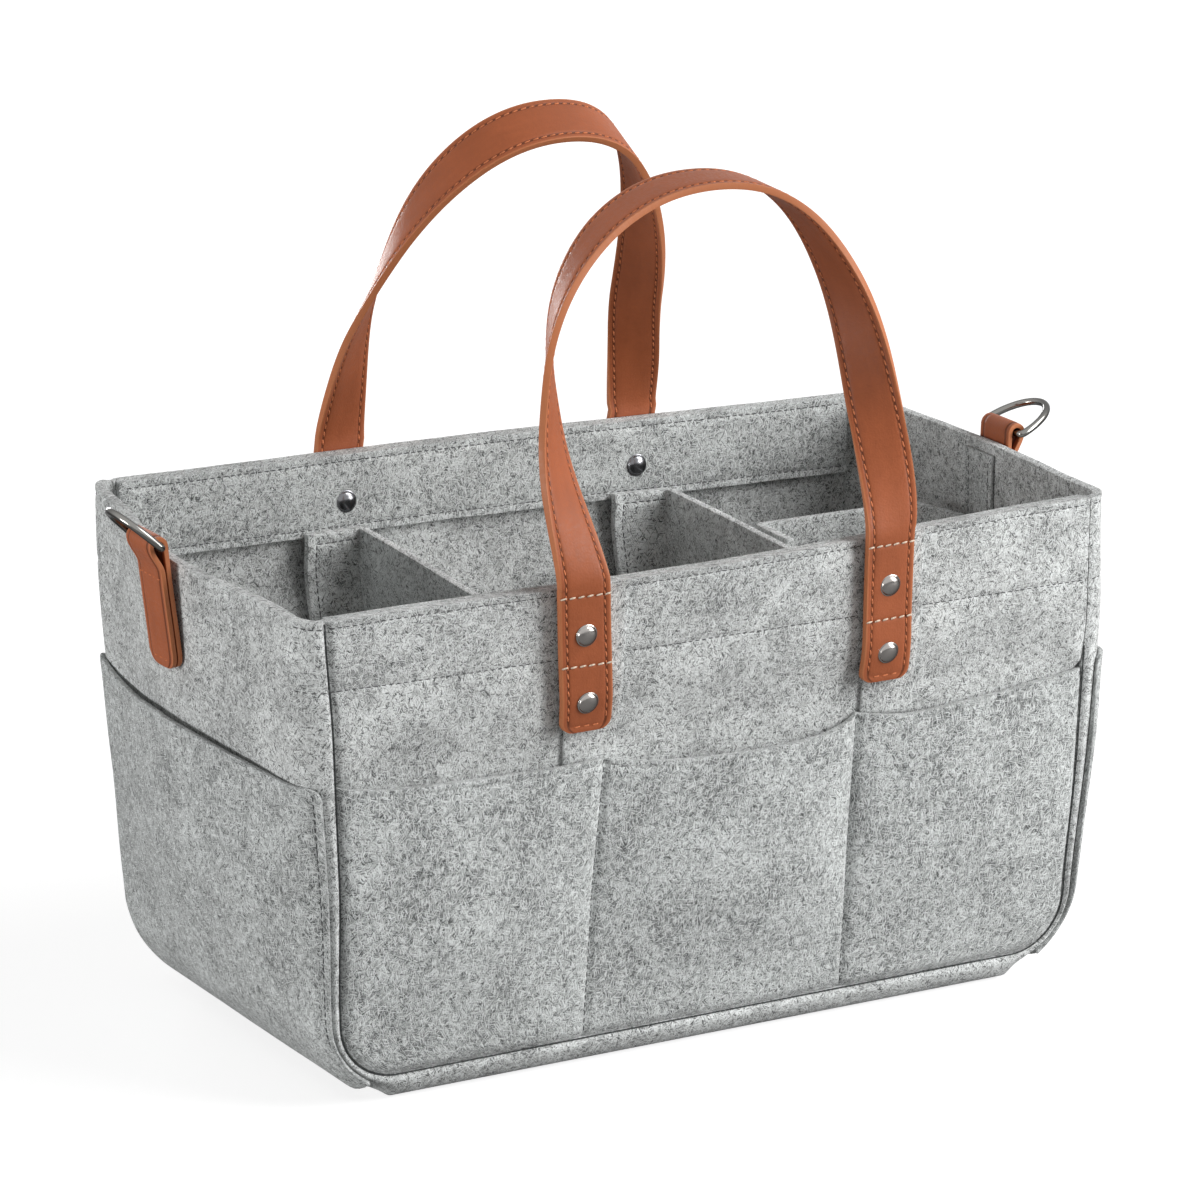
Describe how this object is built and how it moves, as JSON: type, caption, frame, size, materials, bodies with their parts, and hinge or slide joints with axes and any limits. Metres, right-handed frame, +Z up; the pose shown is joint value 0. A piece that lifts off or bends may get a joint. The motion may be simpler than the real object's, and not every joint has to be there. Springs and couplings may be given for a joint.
{
  "type": "felt car seat organizer",
  "caption": "Open felt basket with leather handles, a ring at each end, outer pockets all round and inner dividers.",
  "frame": {"origin": "middle of the flat base", "axes": "+X along the length, -Y out of the front, +Z up"},
  "size_m": [0.4173, 0.2154, 0.3468],
  "materials": {
    "felt": "light grey wool-mix felt",
    "leather": "tan grained leather with painted edges",
    "hardware": "polished dark nickel",
    "hook_tape": "grey hook tape"
  },
  "bodies": {
    "basket": {"end_and_base_band": "felt", "left_end_pocket": "felt", "right_end_pocket": "felt", "left_end_inner_strip": "felt", "right_end_inner_strip": "felt", "front_panel": "felt", "back_panel": "felt", "front_pocket_panel": "felt", "back_pocket_panel": "felt", "front_rim_facing": "felt", "back_rim_facing": "felt", "front_left_strip": "felt", "front_right_strip": "felt", "back_left_strip": "felt", "back_right_strip": "felt", "front_left_handle_tab": "leather", "front_right_handle_tab": "leather", "back_left_handle_tab": "leather", "back_right_handle_tab": "leather", "front_left_upper_rivet": "hardware", "front_left_lower_rivet": "hardware", "front_right_upper_rivet": "hardware", "front_right_lower_rivet": "hardware", "back_left_upper_rivet": "hardware", "back_left_lower_rivet": "hardware", "back_right_upper_rivet": "hardware", "back_right_lower_rivet": "hardware", "front_left_upper_rivet_cap": "hardware", "front_left_lower_rivet_cap": "hardware", "front_right_upper_rivet_cap": "hardware", "front_right_lower_rivet_cap": "hardware", "back_left_upper_rivet_cap": "hardware", "back_left_lower_rivet_cap": "hardware", "back_right_upper_rivet_cap": "hardware", "back_right_lower_rivet_cap": "hardware", "left_ring_tab": "leather", "right_ring_tab": "leather", "left_cross_divider": "felt", "right_cross_divider": "felt", "left_divider_front_hook_tape": "hook_tape", "left_divider_back_hook_tape": "hook_tape", "right_divider_front_hook_tape": "hook_tape", "right_divider_back_hook_tape": "hook_tape"},
    "front_handle": {"front_handle_loop": "leather"},
    "back_handle": {"back_handle_loop": "leather"},
    "left_ring": {"left_d_ring": "hardware"},
    "right_ring": {"right_d_ring": "hardware"},
    "loose_divider": {"lengthwise_divider": "felt", "lengthwise_divider_left_hook_tape": "hook_tape", "lengthwise_divider_right_hook_tape": "hook_tape"}
  },
  "joints": [
    {"name": "front_handle_fold", "type": "hinge", "parent": "basket", "child": "front_handle", "pos_m": [0, -0.10463, 0.2025], "axis": [1, 0, 0], "range_deg": [-15, 107]},
    {"name": "back_handle_fold", "type": "hinge", "parent": "basket", "child": "back_handle", "pos_m": [0, 0.10463, 0.2025], "axis": [-1, 0, 0], "range_deg": [-10, 119]},
    {"name": "left_ring_swing", "type": "hinge", "parent": "basket", "child": "left_ring", "pos_m": [-0.19545, 0, 0.2086], "axis": [0, -1, 0], "range_deg": [-131, 110]},
    {"name": "right_ring_swing", "type": "hinge", "parent": "basket", "child": "right_ring", "pos_m": [0.18751, 0, 0.20276], "axis": [0, 1, 0], "range_deg": [-152, 90]},
    {"name": "divider_lift", "type": "slide", "parent": "basket", "child": "loose_divider", "axis": [0, 0, 1], "range_m": [0, 0.17]}
  ]
}
